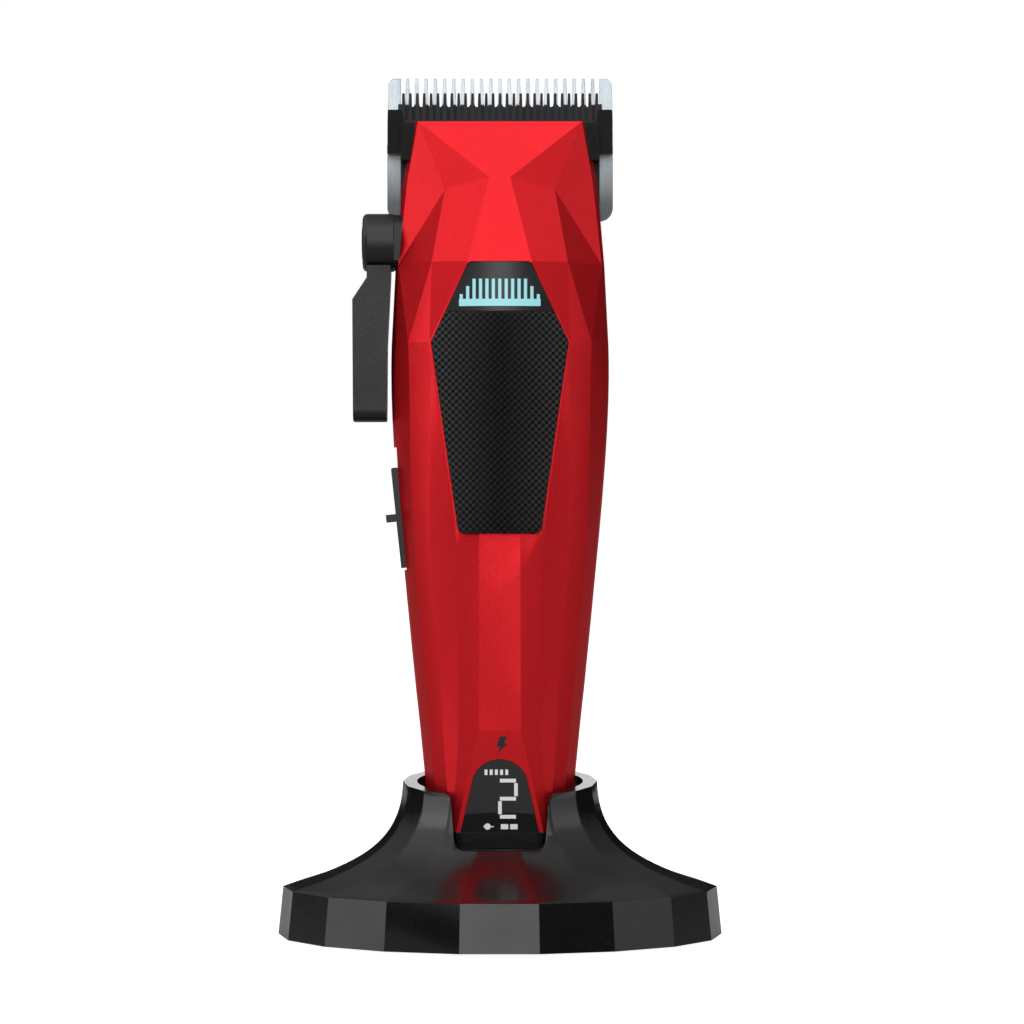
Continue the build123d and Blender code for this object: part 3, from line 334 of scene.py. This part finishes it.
def grip_rubber():
    """Matt rubber; painted shade in the hollows between the checks, painted reflections lighten its
    flanks.
    """
    material, tree, shader = start_material("grip rubber", Specular_IOR_Level=0.12)
    sparks = effect(tree, GRAIN, Scale=3200.0, Depth=0.00001)
    edge = effect(tree, EDGES, Radius=0.0003, Amount=0.4)["Mask"]
    place = put(tree, "ShaderNodeSeparateXYZ", {0: on_object(tree)}).outputs
    # painted reflection: the flanks are painted lighter than the middle, where the side lights would
    # shine
    outward = spread(tree, maths(tree, "ABSOLUTE", place["X"]), 1.0 * MM, 11.0 * MM)
    middle = blend_colour(tree, sparks["Mask"], (0.001, 0.001, 0.001), (0.003, 0.003, 0.003))
    sheen_flank = blend_colour(tree, sparks["Mask"], (0.030, 0.030, 0.0302), (0.046, 0.046, 0.0462))
    # painted shade: the hollows between the checks are painted near black
    ripples = [maths(tree, "SINE", product(tree, place[way], math.pi / GRIP_CELL))
               for way in ("X", "Z")]
    crown = spread(tree, product(tree, *ripples), -0.25, 0.25)
    shade = blend_colour(tree, crown, (0.001, 0.001, 0.001),
                         blend_colour(tree, outward, middle, sheen_flank))
    tree.links.new(blend_colour(tree, edge, shade, (0.03, 0.03, 0.03)), shader["Base Color"])
    tree.links.new(spread(tree, sparks["Mask"], 0.0, 1.0, 0.42, 0.52), shader["Roughness"])
    tree.links.new(bump(tree, sparks["Height"]), shader["Normal"])
    return material


def lit_print(name, colour, glow):
    """Print or light guide with a soft even glow; on a print the glow is painted light."""
    material, tree, shader = start_material(name, Emission_Strength=glow)
    specks = effect(tree, GRAIN, Scale=6000.0, Depth=0.000002)
    dimmer = tuple(0.9 * c for c in colour)
    shade = blend_colour(tree, specks["Mask"], dimmer, colour)
    tree.links.new(shade, shader["Base Color"])
    tree.links.new(shade, shader["Emission Color"])
    tree.links.new(spread(tree, specks["Mask"], 0.0, 1.0, 0.3, 0.42), shader["Roughness"])
    return material


TRACK_DEPTH = 0.02 * MM          # between a circuit board's tracks


def circuit_board():
    """Green lacquer over raised tracks."""
    material, tree, shader = start_material("circuit board", Coat_Weight=0.3, Coat_Roughness=0.2)
    bricks = put(tree, "ShaderNodeTexBrick", {"Vector": on_object(tree), "Scale": 320.0,
                                              "Mortar Size": 0.06, "Color1": (1, 1, 1, 1),
                                              "Color2": (0.6, 0.6, 0.6, 1), "Mortar": (0, 0, 0, 1)})
    grain = effect(tree, GRAIN, Scale=3000.0, Depth=0.000005)
    laid = blend_colour(tree, bricks.outputs["Fac"], (0.012, 0.10, 0.035), (0.03, 0.19, 0.07))
    tree.links.new(blend_colour(tree, spread(tree, grain["Mask"], 0.6, 0.9), laid,
                                (0.02, 0.15, 0.05)), shader["Base Color"])
    tree.links.new(spread(tree, grain["Mask"], 0.0, 1.0, 0.3, 0.45), shader["Roughness"])
    height = maths(tree, "ADD", grain["Height"], product(tree, bricks.outputs["Fac"], TRACK_DEPTH))
    tree.links.new(bump(tree, height), shader["Normal"])
    return material


BLACK = (0.006, 0.006, 0.0062)
DEEP_BLACK = (0.003, 0.003, 0.0032)
FINISHES = {
    "red_paint": red_paint(),
    "black_moulding": moulding("black moulding", DEEP_BLACK, BLACK, 0.38,
                               (0.025, 0.025, 0.026), Specular_IOR_Level=0.40),
    "stand_black": moulding("stand moulding", (0.003, 0.003, 0.0031), (0.006, 0.006, 0.0061), 0.20,
                            (0.02, 0.02, 0.02), grain=2000.0, depth=0.000004,
                            Specular_IOR_Level=0.4),
    "grip_rubber": grip_rubber(),
    "badge_black": moulding("badge moulding", BLACK, (0.009, 0.009, 0.0092), 0.30,
                            (0.03, 0.03, 0.03), grain=4200.0, depth=0.000004,
                            Specular_IOR_Level=0.38),
    # painted glow: the inlay is printed and no lamp, yet glows faintly
    "emblem_blue": lit_print("pale blue inlay", (0.34, 0.74, 0.80), 0.10),
    "display_glass": display_glass(),
    "display_light": lit_print("display light", (0.62, 0.64, 0.65), 0.35),
    "mark_print": moulding("printed mark", (0.004, 0.004, 0.004), BLACK, 0.4, BLACK, depth=0.000002),
    "blade_steel": fixed_blade_steel(),
    "cutter_black": metal("black coated cutter", (0.004, 0.004, 0.0045), (0.009, 0.009, 0.010), 0.34,
                          (3200.0, 3200.0, 90.0), wear=0.5, worn=(0.04, 0.04, 0.042), Metallic=0.3,
                          Specular_IOR_Level=0.25),
    "plain_steel": metal("turned steel", (0.42, 0.43, 0.45), (0.58, 0.59, 0.61), 0.32,
                         (900.0, 900.0, 2600.0)),
    "motor_steel": metal("plated motor can", (0.38, 0.39, 0.41), (0.50, 0.51, 0.53), 0.38,
                         (160.0, 160.0, 2400.0)),
    "copper": metal("enamelled copper", (0.52, 0.20, 0.08), (0.72, 0.32, 0.14), 0.34,
                    (300.0, 300.0, 4200.0), worn=(0.85, 0.45, 0.25)),
    "brass": metal("sintered brass", (0.50, 0.36, 0.13), (0.66, 0.49, 0.20), 0.42,
                   (1500.0, 1500.0, 1500.0), worn=(0.85, 0.68, 0.34)),
    "gold_contact": metal("gold contact", (0.74, 0.50, 0.18), (0.88, 0.64, 0.28), 0.24,
                          (1800.0, 1800.0, 400.0), worn=(0.95, 0.78, 0.45)),
    "magnet": metal("ferrite magnet", (0.035, 0.035, 0.038), (0.06, 0.06, 0.065), 0.5,
                    (1200.0, 1200.0, 1200.0), Metallic=0.2, worn=(0.12, 0.12, 0.12)),
    "board_green": circuit_board(),
    "battery_wrap": moulding("battery sleeve", (0.02, 0.09, 0.26), (0.03, 0.12, 0.33), 0.3,
                             (0.2, 0.3, 0.5), grain=1500.0, depth=0.000004),
    "ballast_steel": metal("zinc plated ballast", (0.36, 0.37, 0.36), (0.52, 0.53, 0.50), 0.4,
                           (420.0, 420.0, 900.0)),
    "foot_rubber": moulding("foot rubber", (0.012, 0.012, 0.012), (0.024, 0.024, 0.024), 0.7,
                            (0.03, 0.03, 0.03)),
    "lead_sleeve": moulding("lead sleeve", (0.35, 0.01, 0.01), (0.42, 0.016, 0.015), 0.42,
                            (0.5, 0.05, 0.05)),
    "inner_plastic": moulding("inner moulding", (0.045, 0.046, 0.05), (0.065, 0.066, 0.07), 0.48,
                              (0.12, 0.12, 0.13), grain=1800.0),
    "yoke_plastic": moulding("yoke plastic", (0.62, 0.60, 0.55), (0.72, 0.70, 0.65), 0.44,
                             (0.8, 0.79, 0.75), grain=2200.0),
}
for node in nodes.values():
    for slot in node.material_slots:
        slot.material = FINISHES[slot.material.name]
nodes["head_block"].material_slots[0].material = moulding(
    "head block moulding", (0.0015, 0.0013, 0.0014), (0.003, 0.0026, 0.0028), 0.4,
    (0.015, 0.014, 0.014), Specular_IOR_Level=0.12)


# ---- crisp but not knife-sharp edges on the CAD pieces --------------------------------------
WELD_GAP = 0.002 * MM            # corners closer than this are one corner
FLAT_WITHIN = math.radians(0.4)  # faces that turn less than this are one face
EDGE_FROM = math.radians(5.0)    # edges that turn more than this are rounded
EDGE_STEPS = 2                   # flat strips to a rounded edge
EDGE_WIDTHS = {"front_cover": 0.22 * MM, "rear_cover": 0.22 * MM, "stand_shell": 0.3 * MM,
               "bottom_cap": 0.3 * MM, "head_block": 0.2 * MM}


def break_edges(name, width):
    """Rounds a piece's edges with modifiers, after joining its triangles into whole faces."""
    weld = nodes[name].modifiers.new("joined", "WELD")
    weld.merge_threshold = WELD_GAP
    flat = nodes[name].modifiers.new("whole faces", "DECIMATE")
    flat.decimate_type, flat.angle_limit = "DISSOLVE", FLAT_WITHIN
    bevel = nodes[name].modifiers.new("broken edges", "BEVEL")
    bevel.width, bevel.segments = width, EDGE_STEPS
    bevel.limit_method, bevel.angle_limit = "ANGLE", EDGE_FROM
    bevel.use_clamp_overlap = True
    bevel.harden_normals = True


for name, width in EDGE_WIDTHS.items():
    break_edges(name, width)


# ---- grip pad ------------------------------------------------------------------------------
GRIP_RISE = 0.11 * MM            # from the mean surface to a check's crown
GRIP_STEPS = 5                   # mesh steps to a check
BACK_STEP = 10                   # front steps to one strip of the pad's back
GRIP_RIM = 0.5 * MM              # plain border round the checks
CROWN_FLATNESS = 2.6             # higher makes the checks' crowns flatter and their sides steeper
LEVEL_INSET = 0.01 * MM          # first and last row of points, just inside the pad's ends
RAY_INSET = 0.9995               # rays meet the pad just inside its sides
RAY_START = -50.0 * MM           # in front of the whole pad
LEVEL_EDGE = 1e-9                # an edge this level has no slope to read a width from


def grip_half_widths(levels):
    """Half-width of the pad at each height, read from the CAD pad's own edges."""
    mesh = nodes["grip_pad"].data
    at = np.array([v.co for v in mesh.vertices])
    ends = at[np.array([e.vertices[:] for e in mesh.edges])]
    low, high = ends[:, 0], ends[:, 1]
    widths = []
    for z in levels:
        crossing = (low[:, 2] - z) * (high[:, 2] - z) <= 0
        a, b = low[crossing], high[crossing]
        rise = b[:, 2] - a[:, 2]
        share = (z - a[:, 2]) / np.where(abs(rise) < LEVEL_EDGE, 1.0, rise)
        widths.append(float(np.max(abs(a[:, 0] + share * (b[:, 0] - a[:, 0])))))
    return widths


def build_grip():
    """The pad's face as raised checks, with a plain rim and the CAD pad's outline and depth."""
    low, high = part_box("grip_pad")
    cad = nodes["grip_pad"].data
    skin = BVHTree.FromPolygons([v.co for v in cad.vertices], [p.vertices for p in cad.polygons])
    step = GRIP_CELL / GRIP_STEPS
    rows = round((high.z - low.z) / step)
    columns = 2 * BACK_STEP * round(high.x / step / BACK_STEP)
    bottom, height = low.z + LEVEL_INSET, high.z - low.z - 2 * LEVEL_INSET
    levels = [bottom + height * i / rows for i in range(rows + 1)]
    mesh = bmesh.new()
    front, back = [], []
    for i, (z, half) in enumerate(zip(levels, grip_half_widths(levels))):
        front_row, back_row = [], []
        for j in range(columns + 1):
            x = (2 * j / columns - 1) * half
            hit = skin.ray_cast(Vector((x * RAY_INSET, RAY_START, z)), Vector((0, 1, 0)))[0]
            rim = min(half - abs(x), z - low.z, high.z - z) / GRIP_RIM
            wave = math.sin(math.pi * x / GRIP_CELL) * math.sin(math.pi * z / GRIP_CELL)
            rise = GRIP_RISE * math.tanh(CROWN_FLATNESS * wave) * min(1.0, max(0.0, rim))
            front_row.append(mesh.verts.new((x, hit.y - rise + GRIP_RISE, z)))
            if i in (0, rows) or j % BACK_STEP == 0:
                far = skin.ray_cast(Vector((x * RAY_INSET, 0.0, z)), Vector((0, -1, 0)))[0]
                back_row.append(mesh.verts.new((x, far.y, z)))
            else:
                back_row.append(None)
        front.append(front_row)
        back.append(back_row)
    for i in range(rows):
        for j in range(columns):
            mesh.faces.new((front[i][j], front[i][j + 1], front[i + 1][j + 1], front[i + 1][j]))
        for j in range(0, columns, BACK_STEP):
            lower, upper = ([v for v in back[k][j:j + BACK_STEP + 1] if v] for k in (i, i + 1))
            mesh.faces.new(upper + lower[::-1])
        for j, turn in ((0, 1), (-1, -1)):
            ring = [front[i][j], front[i + 1][j], back[i + 1][j], back[i][j]]
            mesh.faces.new(ring[::turn])
    for i, turn in ((0, 1), (rows, -1)):
        for j in range(columns):
            ring = [front[i][j + 1], front[i][j], back[i][j], back[i][j + 1]]
            mesh.faces.new(ring[::turn])
    return mesh


def add_piece(name, mesh, body, slot):
    """Turns a bmesh into a smooth-shaded piece riding on body, in the slot's finish."""
    data = bpy.data.meshes.new(name)
    mesh.normal_update()
    mesh.to_mesh(data)
    mesh.free()
    data.shade_smooth()
    data.materials.append(FINISHES[slot])
    piece = bpy.data.objects.new(name, data)
    bpy.context.scene.collection.objects.link(piece)
    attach(piece, body)
    return piece


grip = add_piece("grip_checks", build_grip(), "clipper", "grip_rubber")
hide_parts("grip_pad")


# ---- contact springs -------------------------------------------------------------------------
WIRE_R = 0.16 * MM               # of the contact springs' wire
COIL_TURNS = 5.5
COIL_CLOSED = 0.12               # share of the wire in each closed end turn
COIL_STEPS = 28                  # mesh steps to a turn
COIL_SIDES = 8                   # flat sides round the wire


def build_coil(low, high):
    """A compression spring standing in the box low..high, its end turns closed and flat."""
    centre = (low + high) / 2
    radius = (high.x - low.x) / 2 - WIRE_R
    mesh, rings = bmesh.new(), []
    count = int(COIL_TURNS * COIL_STEPS)
    for i in range(count + 1):
        t = i / count
        turn = t * COIL_TURNS * 2 * math.pi
        rise = min(max((t - COIL_CLOSED) / (1 - 2 * COIL_CLOSED), 0.0), 1.0)
        ends = WIRE_R * (min(t, COIL_CLOSED) + max(t - 1 + COIL_CLOSED, 0.0)) / COIL_CLOSED
        z = low.z + WIRE_R + ends + rise * (high.z - low.z - 4 * WIRE_R)
        out, up = Vector((math.cos(turn), math.sin(turn), 0)), Vector((0, 0, 1))
        middle = Vector((centre.x, centre.y, z)) + radius * out
        angles = [2 * math.pi * k / COIL_SIDES for k in range(COIL_SIDES)]
        rings.append([mesh.verts.new(middle + WIRE_R * (math.cos(a) * out + math.sin(a) * up))
                      for a in angles])
    for a, b in zip(rings, rings[1:]):
        for k in range(COIL_SIDES):
            after = (k + 1) % COIL_SIDES
            mesh.faces.new((a[k], b[k], b[after], a[after]))
    mesh.faces.new(rings[0])
    mesh.faces.new(rings[-1][::-1])
    bmesh.ops.recalc_face_normals(mesh, faces=mesh.faces)
    return mesh


for side in ("left", "right"):
    low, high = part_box(f"contact_spring_{side}")
    coil = add_piece(f"contact_coil_{side}", build_coil(low, high), "stand", "plain_steel")
    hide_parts(f"contact_spring_{side}")
    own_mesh(coil)


# ---- floor, light and camera -------------------------------------------------------------------
FLOOR_HALF = 12.0                # in metres, so wide that its edge can't be made out


def floor():
    """Pale floor: bright to the eye, dark to the light that it sends back on to the object."""
    mesh = bmesh.new()
    bmesh.ops.create_grid(mesh, x_segments=8, y_segments=8, size=FLOOR_HALF)
    data = bpy.data.meshes.new("floor")
    mesh.to_mesh(data)
    mesh.free()
    piece = bpy.data.objects.new("floor", data)
    bpy.context.scene.collection.objects.link(piece)
    material, tree, shader = start_material("pale floor", Emission_Color=(1, 1, 1, 1), Roughness=0.8)
    noise = put(tree, "ShaderNodeTexNoise", {"Vector": on_object(tree), "Scale": 9.0})
    tree.links.new(blend_colour(tree, noise.outputs["Fac"], (0.34, 0.34, 0.34), (0.36, 0.36, 0.36)),
                   shader["Base Color"])
    seen = put(tree, "ShaderNodeLightPath").outputs["Is Camera Ray"]
    tree.links.new(spread(tree, seen, 0.0, 1.0, 0.05, 0.96), shader["Emission Strength"])
    data.materials.append(material)


AIM = Vector((0.0, 0.0, 0.10))   # where every softbox aims, over half-way up the clipper


def softbox(name, at, size, radiance):
    """A rectangular softbox at a place, turned to the object; size is (wide, high) in metres."""
    light = bpy.data.lights.new(name, "AREA")
    light.shape, light.size, light.size_y = "RECTANGLE", size[0], size[1]
    light.energy = radiance * math.pi * size[0] * size[1]
    piece = bpy.data.objects.new(name, light)
    piece.visible_camera = False
    piece.location = at
    piece.rotation_euler = (AIM - Vector(at)).to_track_quat("-Z", "Y").to_euler()
    bpy.context.scene.collection.objects.link(piece)


def studio():
    """White surroundings to the eye, casting light mostly from above, the front and the left."""
    world = bpy.data.worlds.new("white studio")
    world.use_nodes = True
    tree = world.node_tree
    tree.nodes.clear()
    way = put(tree, "ShaderNodeSeparateXYZ",
              {0: put(tree, "ShaderNodeTexCoord").outputs["Generated"]}).outputs
    ceiling = spread(tree, way["Z"], 0.20, 0.50, 0.04, 0.95)
    forward = spread(tree, way["Y"], 0.1, 0.7, 1.0, 0.2)
    leftward = spread(tree, way["X"], -0.5, 0.5, 1.35, 0.75)
    glow = product(tree, ceiling, forward, leftward)
    seen = put(tree, "ShaderNodeBackground", {"Color": (1, 1, 1, 1), "Strength": 1.0})
    cast = put(tree, "ShaderNodeBackground", {"Color": (1, 1, 1, 1), "Strength": glow})
    camera_ray = put(tree, "ShaderNodeLightPath").outputs["Is Camera Ray"]
    mix = put(tree, "ShaderNodeMixShader", {0: camera_ray, 1: cast.outputs[0], 2: seen.outputs[0]})
    put(tree, "ShaderNodeOutputWorld", {"Surface": mix.outputs[0]})
    bpy.context.scene.world = world
    bpy.context.scene.view_settings.view_transform = "Standard"
    softbox("front strip", (0.0, -1.25, 0.36), (0.42, 0.68), 3.5)
    softbox("high front", (0.0, -0.62, 0.88), (0.80, 0.70), 1.3)
    softbox("left strip", (-0.97, -0.24, 0.37), (0.50, 0.74), 2.1)
    softbox("right strip", (0.97, -0.24, 0.37), (0.50, 0.74), 1.05)
    softbox("back", (0.0, 1.20, 0.35), (0.24, 0.60), 1.5)


CAMERA_AT = (2.47 * MM, -950.0 * MM, 87.3 * MM)
SENSOR, FOCAL_LENGTH = 36.0, 161.96  # both in millimetres, as the camera takes them


def camera():
    """Level, far off in front, half-way up the object and a touch to the right of its middle."""
    lens = bpy.data.cameras.new("camera")
    lens.sensor_width, lens.lens = SENSOR, FOCAL_LENGTH
    lens.clip_start, lens.clip_end = 0.02, 60.0
    piece = bpy.data.objects.new("camera", lens)
    piece.location = CAMERA_AT
    piece.rotation_euler = (math.radians(90), 0, 0)
    bpy.context.scene.collection.objects.link(piece)
    bpy.context.scene.camera = piece


floor()
studio()
camera()
